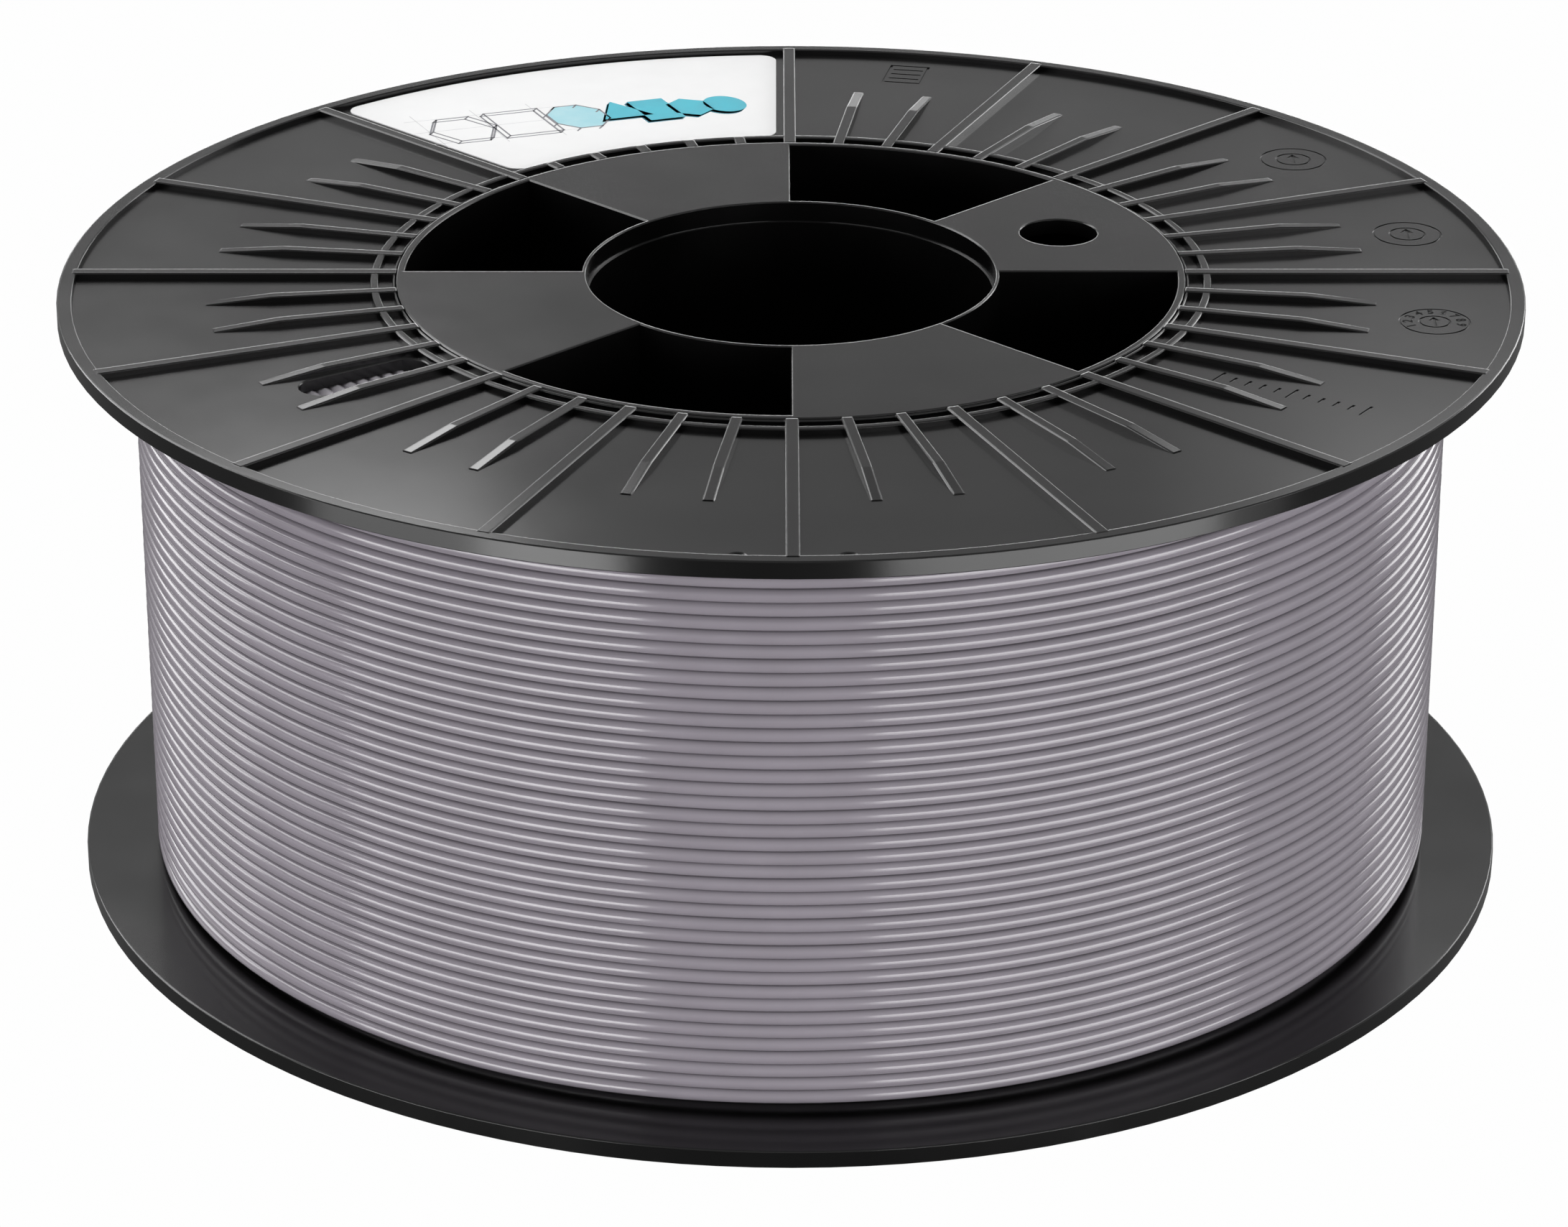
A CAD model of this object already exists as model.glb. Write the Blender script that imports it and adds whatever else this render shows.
import math

import bpy
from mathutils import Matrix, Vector


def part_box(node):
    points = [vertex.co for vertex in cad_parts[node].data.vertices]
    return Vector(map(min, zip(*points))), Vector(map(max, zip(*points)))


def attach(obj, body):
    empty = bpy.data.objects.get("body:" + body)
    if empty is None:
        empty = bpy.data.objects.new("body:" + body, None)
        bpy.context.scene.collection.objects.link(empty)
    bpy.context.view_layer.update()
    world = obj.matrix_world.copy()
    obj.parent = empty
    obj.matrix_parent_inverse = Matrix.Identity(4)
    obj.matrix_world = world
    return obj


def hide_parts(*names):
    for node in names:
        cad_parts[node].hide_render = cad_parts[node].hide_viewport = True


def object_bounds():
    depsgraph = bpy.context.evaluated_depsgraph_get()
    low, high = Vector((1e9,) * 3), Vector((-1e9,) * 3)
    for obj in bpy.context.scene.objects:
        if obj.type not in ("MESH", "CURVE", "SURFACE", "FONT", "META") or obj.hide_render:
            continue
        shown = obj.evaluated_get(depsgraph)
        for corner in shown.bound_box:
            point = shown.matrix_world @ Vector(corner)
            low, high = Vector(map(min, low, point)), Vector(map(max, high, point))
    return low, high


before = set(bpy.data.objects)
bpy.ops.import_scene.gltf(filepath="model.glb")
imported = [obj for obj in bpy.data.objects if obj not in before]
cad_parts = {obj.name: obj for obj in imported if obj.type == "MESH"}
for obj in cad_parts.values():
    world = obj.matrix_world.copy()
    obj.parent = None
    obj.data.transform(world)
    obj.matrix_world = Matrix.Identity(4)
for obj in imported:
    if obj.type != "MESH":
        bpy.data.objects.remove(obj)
cad_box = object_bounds()

# ---- Driving sizes (mm and degrees, unless said otherwise) ----------------------------------------
MM = 0.001

CAMERA_ELEVATION = 23.961
CAMERA_DISTANCE = 697.64
CAMERA_TARGET = (-2.049, 0.0, 30.56)
CAMERA_LENS = 122.82
CAMERA_SENSOR_WIDTH = 36.0
CAMERA_SHIFT = (0.0060, -0.0028)    # sideways and up, as shares of the picture's width

WHITE = (0.99, 0.99, 0.99, 1.0)     # what the camera sees behind and under the spool
STAGE_HALF_WIDTH = 20000.0

FILAMENT_DIAMETER = 1.75
STEPS_PER_TURN = 160          # outer layer's smoothness round the spool
OUTER_SIDES = 12              # and round the strand
HIDDEN_STEPS_PER_TURN = 96    # layers that show only in slits
HIDDEN_SIDES = 8
STRAND_END_ANGLE = 90.0       # the strand's ends lie at the back
OUTWARD_BIAS = 0.45           # crowds a strand's sides towards the outside, where they are seen
HEIGHT_WANDER = 0.035         # how unevenly the turns lie
RADIUS_WANDER = 0.045
END_LAYER_PITCH = 1.79        # turns seen edge on through the flanges' slots
END_LAYERS = 17
END_LAYER_GAP = 0.05          # barrel to the first of them
SLOT_OUTER_RADIUS = 72.0      # just past the outer end of the flanges' slots
WANDER_WAVES = ((0.382, 0.45), (1.618, 0.3), (2.414, 0.25))   # rate in waves a turn, share of the whole
WANDER_PHASE = 2.1            # shifts each wave by this times its rate
HEIGHT_WANDER_SHIFT = 1.7     # so that height and radius don't wander together

PRINT_START = (-47.2, 51.6)   # on the label: left end of the line the printed shapes stand on
PRINT_ROW_ANGLE = 18.8
PRINT_LEAN = 0.10             # sideways shift of a shape's top for each unit of height
PRINT_DEPTH = 1.15            # how far the drawn block's far side is shifted
DEPTH_BACK, DEPTH_DOWN = 0.6, 0.8     # that shift's direction, against the row and towards its line
SIDE_STEPS = 4                # copies that fill a solid shape's side
PRINT_LINE = 0.26
GUIDE_LINE = 0.13
GUIDE_UPRIGHTS = (0.4, 8.9, 17.0)     # along the row, where the leaning guide lines start
GUIDE_UPRIGHT_SPAN = (-2.2, 12.2)
GUIDE_UPRIGHT_LEAN = 1.6
GUIDE_LEVELS = (-0.2, 4.9, 9.9)       # heights of the guide lines that run along the row
GUIDE_LEVEL_SPAN = (-2.6, 19.5)
INK_THICKNESS = 0.01

DIAL_PLACE = (81.5, -11.25)   # radius and angle of the flange's middle date mark
DIGIT_COUNT = 9
DIGIT_RING_RADIUS = 3.3
FIRST_DIGIT_ANGLE = 205.0
DIGIT_STEP_ANGLE = 28.0
DIGIT_HEIGHT = 1.25
FONT_SIZE = 1.4 * DIGIT_HEIGHT
DIGIT_RELIEF = 0.015
DIGIT_BOLDNESS = 0.04

# ---- Sizes read from the frame --------------------------------------------------------------------
WINDING_LOW, WINDING_HIGH = (corner.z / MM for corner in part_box("filament"))
WINDING_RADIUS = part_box("filament")[1].x / MM
LABEL_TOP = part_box("label")[1].z / MM
FLOOR_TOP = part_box("label")[0].z / MM
SPOOL_TOP = cad_box[1].z / MM
BARREL_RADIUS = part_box("core")[1].x / MM


# ---- Small helpers --------------------------------------------------------------------------------
def polar(radius, angle, z=0.0):
    turn = math.radians(angle)
    return Vector((radius * math.cos(turn), radius * math.sin(turn), z))


def mesh_object(name, vertices, faces, smooth=False):
    """Object from vertices in mm."""
    mesh = bpy.data.meshes.new(name)
    mesh.from_pydata([tuple(c * MM for c in vertex) for vertex in vertices], [], faces)
    mesh.polygons.foreach_set("use_smooth", [smooth] * len(mesh.polygons))
    mesh.update()
    piece = bpy.data.objects.new(name, mesh)
    bpy.context.scene.collection.objects.link(piece)
    return piece


def dress(piece, material):
    """Gives a new piece its material and the body it rides on."""
    piece.data.materials.clear()
    piece.data.materials.append(material)
    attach(piece, "root")


# ---- Camera ---------------------------------------------------------------------------------------
def make_camera():
    elevation = math.radians(CAMERA_ELEVATION)
    back = Vector((0.0, -math.cos(elevation), math.sin(elevation)))
    data = bpy.data.cameras.new("camera")
    data.sensor_width = CAMERA_SENSOR_WIDTH
    data.lens = CAMERA_LENS
    data.shift_x, data.shift_y = CAMERA_SHIFT
    data.clip_start = 0.01
    data.clip_end = 100.0
    camera = bpy.data.objects.new("camera", data)
    camera.location = (Vector(CAMERA_TARGET) + back * CAMERA_DISTANCE) * MM
    camera.rotation_euler = (math.pi / 2 - elevation, 0.0, 0.0)
    bpy.context.scene.collection.objects.link(camera)
    bpy.context.scene.camera = camera


# ---- Studio ---------------------------------------------------------------------------------------
# Skies as (elevation, radiance). The front one fades into the back one with the share of the direction
# that runs along +Y, between the two SKY_TURNS.
SKY_FRONT = ((-8.0, 0.10), (-1.0, 0.5), (8.0, 0.5), (16.0, 0.40), (34.0, 0.42), (44.0, 0.42))
SKY_BACK = ((-8.0, 0.16), (-1.0, 0.6), (12.0, 0.85), (18.0, 0.36), (34.0, 0.42), (44.0, 0.42))
SKY_TURNS = (-0.85, -0.25)


def sky_ramp(nodes, links, height, bands):
    """Sky radiance by height of the direction (-1 to 1 mapped to 0 to 1)."""
    ramp = nodes.new("ShaderNodeValToRGB")
    stops = ramp.color_ramp.elements
    while len(stops) < len(bands):
        stops.new(1.0)
    for stop, (elevation, radiance) in zip(stops, bands):
        stop.position = (math.sin(math.radians(elevation)) + 1.0) / 2
        stop.color = (radiance, radiance, radiance, 1.0)
    links.new(height, ramp.inputs["Fac"])
    return ramp.outputs["Color"]


def make_world():
    """Soft sky, dim under the horizon in front; the camera itself sees plain white."""
    world = bpy.data.worlds.new("studio")
    world.use_nodes = True
    nodes, links = world.node_tree.nodes, world.node_tree.links
    nodes.clear()
    direction = nodes.new("ShaderNodeTexCoord")
    split = nodes.new("ShaderNodeSeparateXYZ")
    height = nodes.new("ShaderNodeMapRange")
    height.inputs["From Min"].default_value = -1.0
    height.inputs["From Max"].default_value = 1.0
    turn = nodes.new("ShaderNodeMapRange")
    turn.inputs["From Min"].default_value, turn.inputs["From Max"].default_value = SKY_TURNS
    blend = nodes.new("ShaderNodeMixRGB")
    sky = nodes.new("ShaderNodeBackground")
    backdrop = nodes.new("ShaderNodeBackground")
    backdrop.inputs["Color"].default_value = WHITE
    path = nodes.new("ShaderNodeLightPath")
    mix = nodes.new("ShaderNodeMixShader")
    out = nodes.new("ShaderNodeOutputWorld")
    links.new(direction.outputs["Generated"], split.inputs["Vector"])
    links.new(split.outputs["Z"], height.inputs["Value"])
    links.new(split.outputs["Y"], turn.inputs["Value"])
    links.new(turn.outputs["Result"], blend.inputs["Fac"])
    links.new(sky_ramp(nodes, links, height.outputs["Result"], SKY_FRONT), blend.inputs["Color1"])
    links.new(sky_ramp(nodes, links, height.outputs["Result"], SKY_BACK), blend.inputs["Color2"])
    links.new(blend.outputs["Color"], sky.inputs["Color"])
    links.new(path.outputs["Is Camera Ray"], mix.inputs["Fac"])
    links.new(sky.outputs["Background"], mix.inputs[1])
    links.new(backdrop.outputs["Background"], mix.inputs[2])
    links.new(mix.outputs["Shader"], out.inputs["Surface"])
    bpy.context.scene.world = world


SOFTBOX_DISTANCE = 540.0
SOFTBOX_POWER = 4.0           # watts for each square metre at a radiance of 1
SOFTBOXES = {                 # name: (first azimuth, last azimuth, lowest z, highest z, radiance)
    "left_wide": (198.0, 247.0, -162.0, 150.0, 1.9),
    "left_inner": (226.0, 247.0, -162.0, 60.0, 2.6),
    "left_core": (196.0, 247.0, 0.0, 200.0, 4.4),
    "right_wide": (281.0, 345.0, -162.0, 180.0, 0.7),
    "right_inner": (283.0, 333.0, -162.0, 60.0, 2.6),
    "right_core": (283.0, 346.0, 50.0, 250.0, 4.8),
    "back_left": (138.0, 172.0, 105.0, 270.0, 4.2),
    "back_right": (24.0, 54.0, 110.0, 270.0, 4.2),
    "high_left": (97.5, 107.0, 352.0, 600.0, 4.0),
    "far_left": (107.0, 140.0, 345.0, 600.0, 2.2),
    "left_glow": (142.0, 180.0, 300.0, 560.0, 3.8),
    "high_right": (40.0, 77.0, 345.0, 560.0, 1.5),
    "right_glow": (60.0, 80.0, 280.0, 345.0, 0.2),
    "horizon": (62.0, 118.0, 60.0, 120.0, 3.8),
}


def make_softbox(name, first, last, low, high, radiance):
    """Upright panel that faces the spool's axis."""
    width = 2 * SOFTBOX_DISTANCE * math.tan(math.radians(last - first) / 2) * MM
    height = (high - low) * MM
    middle = (first + last) / 2
    data = bpy.data.lights.new(name, "AREA")
    data.shape = "RECTANGLE"
    data.size = width
    data.size_y = height
    data.energy = SOFTBOX_POWER * width * height * radiance
    lamp = bpy.data.objects.new(name, data)
    lamp.location = polar(SOFTBOX_DISTANCE, middle, (low + high) / 2) * MM
    lamp.rotation_euler = (math.pi / 2, 0.0, math.radians(middle + 90.0))
    lamp.visible_camera = False
    bpy.context.scene.collection.objects.link(lamp)


def make_floor():
    """Wide pale floor, level with the spool's base, that the camera sees and the light passes."""
    half = STAGE_HALF_WIDTH
    corners = [(-half, -half, 0), (half, -half, 0), (half, half, 0), (-half, half, 0)]
    floor = mesh_object("floor", corners, [(0, 1, 2, 3)])
    material = bpy.data.materials.new("floor_white")
    material.use_nodes = True
    nodes, links = material.node_tree.nodes, material.node_tree.links
    nodes.clear()
    glow = nodes.new("ShaderNodeEmission")
    glow.inputs["Color"].default_value = WHITE
    out = nodes.new("ShaderNodeOutputMaterial")
    links.new(glow.outputs["Emission"], out.inputs["Surface"])
    floor.data.materials.append(material)
    floor.visible_diffuse = False
    floor.visible_glossy = False
    floor.visible_transmission = False
    floor.visible_volume_scatter = False
    floor.visible_shadow = False


# ---- Materials ------------------------------------------------------------------------------------
EDGE_ROUNDING = 0.25          # of the mouldings' edges, as the light shows it
LEVEL_LIMIT = 0.5             # a face whose normal rises more steeply than this counts as level
FLOOR_MARGIN = 0.05           # a face this near the height of the flange's floor counts as the floor
PLASTIC_ROUGHNESS = (0.16, 0.19)
FILAMENT_ROUGHNESS = (0.12, 0.15)
PAPER_ROUGHNESS = (0.50, 0.60)
INK_ROUGHNESS = (0.45, 0.55)


def calculate(nodes, links, operation, first, second=0.0):
    """Math node fed by sockets or plain numbers; returns its result."""
    node = nodes.new("ShaderNodeMath")
    node.operation = operation
    for socket, value in zip(node.inputs, (first, second)):
        if isinstance(value, float):
            socket.default_value = value
        else:
            links.new(value, socket)
    return node.outputs["Value"]


def rounded_normal(nodes, links, radius):
    """Normal that rounds the edges of level faces, and leaves the flanges' floors and the walls plain."""
    edges = nodes.new("ShaderNodeBevel")
    edges.samples = 8
    edges.inputs["Radius"].default_value = radius * MM
    place = nodes.new("ShaderNodeNewGeometry")
    position, facing = nodes.new("ShaderNodeSeparateXYZ"), nodes.new("ShaderNodeSeparateXYZ")
    links.new(place.outputs["Position"], position.inputs["Vector"])
    links.new(place.outputs["True Normal"], facing.inputs["Vector"])
    steepness = calculate(nodes, links, "ABSOLUTE", facing.outputs["Z"])
    level = calculate(nodes, links, "GREATER_THAN", steepness, LEVEL_LIMIT)
    middle = SPOOL_TOP / 2
    height = calculate(nodes, links, "ABSOLUTE",
                       calculate(nodes, links, "SUBTRACT", position.outputs["Z"], middle * MM))
    off_floor = calculate(nodes, links, "ABSOLUTE",
                          calculate(nodes, links, "SUBTRACT", height, (FLOOR_TOP - middle) * MM))
    raised = calculate(nodes, links, "GREATER_THAN", off_floor, FLOOR_MARGIN * MM)
    choice = nodes.new("ShaderNodeMix")
    choice.data_type = "VECTOR"
    links.new(calculate(nodes, links, "MULTIPLY", level, raised), choice.inputs["Factor"])
    links.new(place.outputs["Normal"], next(s for s in choice.inputs if s.identifier == "A_Vector"))
    links.new(edges.outputs["Normal"], next(s for s in choice.inputs if s.identifier == "B_Vector"))
    return next(s for s in choice.outputs if s.identifier == "Result_Vector")


def grey(value):
    return (value, value, value)


def surface(name, dark, light, patch, rough, grain, grain_height, specular=0.5, rounding=0.0):
    """Material whose colour and roughness drift over patches (mm), with a fine grain (mm) as relief."""
    material = bpy.data.materials.new(name)
    material.use_nodes = True
    nodes, links = material.node_tree.nodes, material.node_tree.links
    shader = nodes["Principled BSDF"]
    shader.inputs["Specular IOR Level"].default_value = specular
    place = nodes.new("ShaderNodeTexCoord")

    drift = nodes.new("ShaderNodeTexNoise")
    drift.inputs["Scale"].default_value = 1.0 / (patch * MM)
    drift.inputs["Detail"].default_value = 3.0
    links.new(place.outputs["Object"], drift.inputs["Vector"])

    colour = nodes.new("ShaderNodeValToRGB")
    colour.color_ramp.elements[0].position = 0.3
    colour.color_ramp.elements[0].color = (*dark, 1.0)
    colour.color_ramp.elements[1].position = 0.7
    colour.color_ramp.elements[1].color = (*light, 1.0)
    links.new(drift.outputs["Fac"], colour.inputs["Fac"])
    links.new(colour.outputs["Color"], shader.inputs["Base Color"])

    polish = nodes.new("ShaderNodeMapRange")
    polish.inputs["From Min"].default_value = 0.3
    polish.inputs["From Max"].default_value = 0.7
    polish.inputs["To Min"].default_value = rough[0]
    polish.inputs["To Max"].default_value = rough[1]
    links.new(drift.outputs["Fac"], polish.inputs["Value"])
    links.new(polish.outputs["Result"], shader.inputs["Roughness"])

    texture = nodes.new("ShaderNodeTexNoise")
    texture.inputs["Scale"].default_value = 1.0 / (grain * MM)
    texture.inputs["Detail"].default_value = 2.0
    links.new(place.outputs["Object"], texture.inputs["Vector"])
    relief = nodes.new("ShaderNodeBump")
    relief.inputs["Strength"].default_value = 1.0
    relief.inputs["Distance"].default_value = grain_height * MM
    links.new(texture.outputs["Fac"], relief.inputs["Height"])
    if rounding:
        links.new(rounded_normal(nodes, links, rounding), relief.inputs["Normal"])
    links.new(relief.outputs["Normal"], shader.inputs["Normal"])
    return material


def ink(name, dark, light, patch):
    return surface(name, dark, light, patch, INK_ROUGHNESS, 0.25, 0.004)


def make_materials():
    return {
        "flange": surface("flange_plastic", grey(0.0012), grey(0.0018), 14.0, PLASTIC_ROUGHNESS, 0.9, 0.002,
                          rounding=EDGE_ROUNDING),
        "core": surface("core_plastic", grey(0.0010), grey(0.0016), 11.0, PLASTIC_ROUGHNESS, 0.9, 0.002,
                        rounding=EDGE_ROUNDING),
        "filament": surface("filament_silver", (0.136, 0.124, 0.141), (0.147, 0.134, 0.153), 9.0,
                            FILAMENT_ROUGHNESS, 0.7, 0.002),
        "slot_filament": surface("filament_silver_inner", (0.74, 0.71, 0.76), (0.80, 0.77, 0.82), 9.0,
                                 FILAMENT_ROUGHNESS, 0.7, 0.002),
        "paper": surface("label_paper", grey(0.88), grey(0.90), 5.0, PAPER_ROUGHNESS, 0.25, 0.004),
        "teal": ink("ink_teal", (0.035, 0.43, 0.55), (0.05, 0.50, 0.62), 4.0),
        "deep_teal": ink("ink_deep_teal", (0.012, 0.19, 0.26), (0.018, 0.23, 0.31), 4.0),
        "pale_teal": ink("ink_pale_teal", (0.33, 0.66, 0.74), (0.45, 0.72, 0.78), 3.0),
        "faint_ink": ink("ink_faint", (0.60, 0.60, 0.61), (0.72, 0.72, 0.73), 1.5),
        "grey_ink": ink("ink_grey", (0.15, 0.15, 0.17), (0.27, 0.27, 0.29), 1.5),
        "mark": surface("engraved_mark", grey(0.0010), grey(0.0016), 2.0, INK_ROUGHNESS, 0.3, 0.003,
                        specular=0.05),
    }


CAD_MATERIALS = {"upper_flange": "flange", "lower_flange": "flange", "core": "core", "label": "paper"}


def dress_cad_nodes(materials):
    for node, key in CAD_MATERIALS.items():
        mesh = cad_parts[node].data
        mesh.materials.clear()
        mesh.materials.append(materials[key])


# ---- Filament -------------------------------------------------------------------------------------
def wander(turn, shift):
    """Smooth unevenness between -1 and 1 that differs from one turn to the next."""
    return sum(share * math.sin(2 * math.pi * rate * turn + shift + WANDER_PHASE * rate)
               for rate, share in WANDER_WAVES)


def strand(name, line, turns, steps_per_turn, sides):
    """Tube round the spool's axis whose centre after some turns is line(turn) = (radius, height)."""
    half = FILAMENT_DIAMETER / 2
    steps = round(turns * steps_per_turn)
    start = math.radians(STRAND_END_ANGLE)
    section = []
    for side in range(sides):
        turn = 2 * math.pi * side / sides
        turn -= OUTWARD_BIAS * math.sin(turn)
        section.append((half * math.cos(turn), half * math.sin(turn)))
    vertices = []
    for step in range(steps + 1):
        turn = step / steps_per_turn
        radius, height = line(turn)
        angle = start + 2 * math.pi * turn
        for out, up in section:
            vertices.append(((radius + out) * math.cos(angle), (radius + out) * math.sin(angle), height + up))
    faces = []
    for step in range(steps):
        near, far = step * sides, (step + 1) * sides
        for side in range(sides):
            after = (side + 1) % sides
            faces.append((near + side, far + side, far + after, near + after))
    faces.append(tuple(range(sides)))
    faces.append(tuple(reversed(range(steps * sides, (steps + 1) * sides))))
    return mesh_object(name, vertices, faces, smooth=True)


def rings(name, circles, steps, sides):
    """Closed rings of filament, each given as (radius, height)."""
    half = FILAMENT_DIAMETER / 2
    vertices, faces = [], []
    for radius, height in circles:
        first = len(vertices)
        for step in range(steps):
            angle = 2 * math.pi * step / steps
            for side in range(sides):
                turn = 2 * math.pi * side / sides
                out = radius + half * math.cos(turn)
                up = height + half * math.sin(turn)
                vertices.append((out * math.cos(angle), out * math.sin(angle), up))
        for step in range(steps):
            near, far = first + step * sides, first + (step + 1) % steps * sides
            for side in range(sides):
                after = (side + 1) % sides
                faces.append((near + side, far + side, far + after, near + after))
    return mesh_object(name, vertices, faces, smooth=True)


def end_circles(edge, inward, layer_step, largest):
    """Turns seen at one end of the winding, two deep: at its edge, and in the hollows behind those."""
    first_radius = BARREL_RADIUS + FILAMENT_DIAMETER / 2 + END_LAYER_GAP
    circles = []
    for layer in range(END_LAYERS):
        radius = first_radius + layer * END_LAYER_PITCH
        circles.append((radius, edge))
        if layer < END_LAYERS - 1:
            circles.append((radius + END_LAYER_PITCH / 2, edge + inward * layer_step))
    return [circle for circle in circles if circle[0] < largest]


def make_filament(material, slot_material):
    half = FILAMENT_DIAMETER / 2
    low = WINDING_LOW + half
    high = WINDING_HIGH - half
    turns = (high - low) / FILAMENT_DIAMETER
    layer_step = half * math.sqrt(3.0)
    outer_radius = WINDING_RADIUS - half
    second_radius = outer_radius - layer_step

    def outer_line(turn):
        inset = RADIUS_WANDER * (1.0 - wander(turn, 0.0)) / 2
        fade = min(1.0, turn, turns - turn)
        rise = HEIGHT_WANDER * fade * wander(turn, HEIGHT_WANDER_SHIFT)
        return outer_radius - inset, low + FILAMENT_DIAMETER * turn + rise

    def second_line(turn):
        return second_radius, low + FILAMENT_DIAMETER * (turn + 0.5)

    outer = strand("filament_outer_layer", outer_line, turns, STEPS_PER_TURN, OUTER_SIDES)
    second = strand("filament_second_layer", second_line, turns - 1, HIDDEN_STEPS_PER_TURN, HIDDEN_SIDES)
    pieces = [(outer, material), (second, material)]
    for name, edge, inward in (("filament_bottom_turns", low, 1), ("filament_top_turns", high, -1)):
        circles = end_circles(edge, inward, layer_step, second_radius)
        at_slot = [circle for circle in circles if circle[0] < SLOT_OUTER_RADIUS]
        past_slot = [circle for circle in circles if circle[0] >= SLOT_OUTER_RADIUS]
        pieces.append((rings(name + "_at_slot", at_slot, HIDDEN_STEPS_PER_TURN, HIDDEN_SIDES), slot_material))
        pieces.append((rings(name, past_slot, HIDDEN_STEPS_PER_TURN, HIDDEN_SIDES), material))
    for piece, look in pieces:
        dress(piece, look)
        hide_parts("filament")


# ---- Label print ----------------------------------------------------------------------------------
def add_plate(vertices, faces, outline, low, high):
    """Adds a closed flat plate with a given outline (anticlockwise) to a mesh's lists."""
    first, count = len(vertices), len(outline)
    vertices += [(x, y, low) for x, y in outline]
    vertices += [(x, y, high) for x, y in outline]
    faces.append(tuple(first + index for index in reversed(range(count))))
    faces.append(tuple(first + count + index for index in range(count)))
    for index in range(count):
        after = (index + 1) % count
        faces.append((first + index, first + after, first + count + after, first + count + index))


def add_line(vertices, faces, start, end, width, low, high):
    """Adds a thin straight printed line."""
    along = Vector((end[0] - start[0], end[1] - start[1])).normalized() * (width / 2)
    across = Vector((-along.y, along.x))
    corners = [Vector(start) - along - across, Vector(end) + along - across,
               Vector(end) + along + across, Vector(start) - along + across]
    add_plate(vertices, faces, [tuple(corner) for corner in corners], low, high)


def regular(sides, turned):
    """Regular polygon that fills a unit square, as points about its centre."""
    points = [(math.cos(2 * math.pi * k / sides + turned), math.sin(2 * math.pi * k / sides + turned))
              for k in range(sides)]
    wide = max(abs(x) for x, _ in points)
    tall = max(abs(y) for _, y in points)
    return [(x / wide / 2, y / tall / 2) for x, y in points]


# Left to right: outline, place of the middle along the row, width, height. The first two are drawn as
# blocks in outline, one is half way, the rest are solid.
PRINT_SHAPES = (
    (regular(6, 0.0), 4.6, 9.0, 9.6),
    (regular(4, math.pi / 4), 13.0, 7.6, 10.0),
    (regular(8, math.pi / 8), 20.8, 7.6, 9.6),
    (regular(3, math.pi / 2), 27.2, 7.0, 9.4),
    (regular(4, math.pi / 4), 31.9, 5.0, 8.6),
    (regular(6, math.pi / 6), 36.6, 5.4, 7.6),
    (regular(32, 0.0), 41.6, 5.6, 7.0),
)
DRAWN_SHAPES = 2


def on_row(along, up):
    """Point on the label from its distance along the printed row and its height above the row's line."""
    row = math.radians(PRINT_ROW_ANGLE)
    return (PRINT_START[0] + along * math.cos(row) - up * math.sin(row),
            PRINT_START[1] + along * math.sin(row) + up * math.cos(row))


def placed_shape(index, shift=0.0):
    """Outline of one printed shape on the label, in mm; shift moves it the way the block's depth runs."""
    outline, middle, width, height = PRINT_SHAPES[index]
    back, down = DEPTH_BACK * shift, DEPTH_DOWN * shift
    return [on_row(middle + x * width - y * height * PRINT_LEAN - back, (y + 0.5) * height - down)
            for x, y in outline]


def guide_lines():
    """Faint construction lines round the drawn shapes, as pairs of ends."""
    low, high = GUIDE_UPRIGHT_SPAN
    left, right = GUIDE_LEVEL_SPAN
    ends = [((along, low), (along - GUIDE_UPRIGHT_LEAN, high)) for along in GUIDE_UPRIGHTS]
    ends += [((left, up), (right, up)) for up in GUIDE_LEVELS]
    return [(on_row(*start), on_row(*end)) for start, end in ends]


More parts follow.
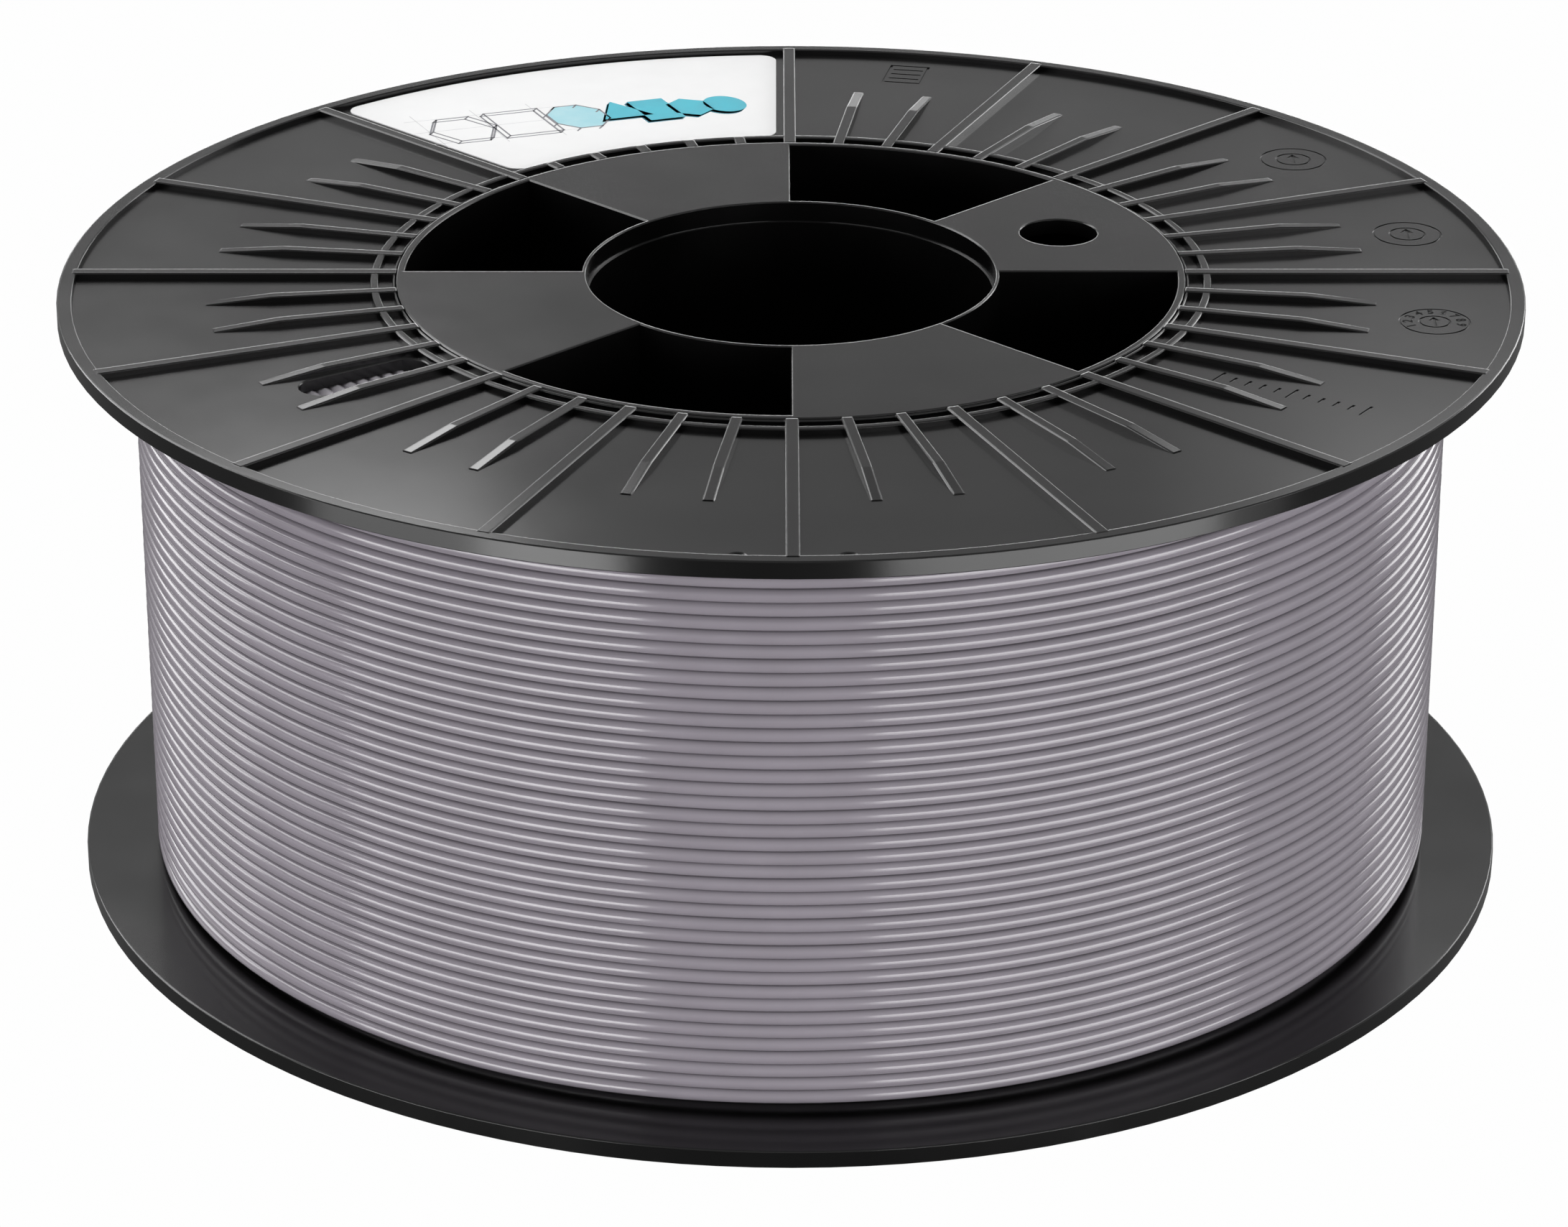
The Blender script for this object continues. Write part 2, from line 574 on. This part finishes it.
def make_print(materials):
    low = LABEL_TOP
    layers = {"label_drawn_shapes": ("grey_ink", [], []), "label_guide_lines": ("faint_ink", [], []),
              "label_block_sides": ("deep_teal", [], []), "label_pale_shape": ("pale_teal", [], []),
              "label_solid_shapes": ("teal", [], [])}

    def level(number):
        return low + INK_THICKNESS * number

    _, vertices, faces = layers["label_guide_lines"]
    for start, end in guide_lines():
        add_line(vertices, faces, start, end, GUIDE_LINE, low, level(0.5))
    _, lines, line_faces = layers["label_drawn_shapes"]
    for index in range(len(PRINT_SHAPES)):
        front, back = placed_shape(index), placed_shape(index, PRINT_DEPTH)
        pairs = list(zip(front, front[1:] + front[:1]))
        back_pairs = list(zip(back, back[1:] + back[:1]))
        if index < DRAWN_SHAPES:
            for start, end in pairs + back_pairs + list(zip(front, back)):
                add_line(lines, line_faces, start, end, PRINT_LINE, low, level(1))
        elif index == DRAWN_SHAPES:
            _, vertices, faces = layers["label_pale_shape"]
            add_plate(vertices, faces, front, low, level(1))
            for start, end in pairs + list(zip(front, back)):
                add_line(lines, line_faces, start, end, PRINT_LINE, low, level(2))
        else:
            _, vertices, faces = layers["label_block_sides"]
            for step in range(SIDE_STEPS):
                side = placed_shape(index, PRINT_DEPTH * (step + 1) / SIDE_STEPS)
                add_plate(vertices, faces, side, low, level(1))
            _, vertices, faces = layers["label_solid_shapes"]
            add_plate(vertices, faces, front, low, level(2))
    for name, (key, vertices, faces) in layers.items():
        piece = mesh_object(name, vertices, faces)
        dress(piece, materials[key])


# ---- Digits on the mould-date dial ----------------------------------------------------------------
def make_dial_digits(material):
    """Small figures round the upper half of the dial whose circles are engraved in the flange."""
    centre = polar(*DIAL_PLACE, FLOOR_TOP)
    vertices, faces = [], []
    for digit in range(1, DIGIT_COUNT + 1):
        angle = FIRST_DIGIT_ANGLE - (digit - 1) * DIGIT_STEP_ANGLE
        curve = bpy.data.curves.new("figure", "FONT")
        curve.body = str(digit)
        curve.align_x = "CENTER"
        curve.align_y = "CENTER"
        curve.size = FONT_SIZE
        curve.extrude = DIGIT_RELIEF / 2
        curve.offset = DIGIT_BOLDNESS
        figure = bpy.data.objects.new("figure", curve)
        bpy.context.scene.collection.objects.link(figure)
        bpy.context.view_layer.update()
        mesh = bpy.data.meshes.new_from_object(figure)
        bpy.data.objects.remove(figure)
        turn = math.radians(angle - 90.0)
        place = centre + polar(DIGIT_RING_RADIUS, angle, DIGIT_RELIEF / 2)
        first = len(vertices)
        for vertex in mesh.vertices:
            x = vertex.co.x * math.cos(turn) - vertex.co.y * math.sin(turn)
            y = vertex.co.x * math.sin(turn) + vertex.co.y * math.cos(turn)
            vertices.append((place.x + x, place.y + y, place.z + vertex.co.z))
        for polygon in mesh.polygons:
            faces.append(tuple(first + index for index in polygon.vertices))
        bpy.data.meshes.remove(mesh)
    piece = mesh_object("dial_digits", vertices, faces)
    dress(piece, material)


# ---- The scene ------------------------------------------------------------------------------------
make_camera()
make_world()
for softbox, (first, last, low, high, radiance) in SOFTBOXES.items():
    make_softbox(softbox, first, last, low, high, radiance)
make_floor()
bpy.context.scene.view_settings.view_transform = "Standard"

materials = make_materials()
dress_cad_nodes(materials)
make_filament(materials["filament"], materials["slot_filament"])
make_print(materials)
make_dial_digits(materials["mark"])
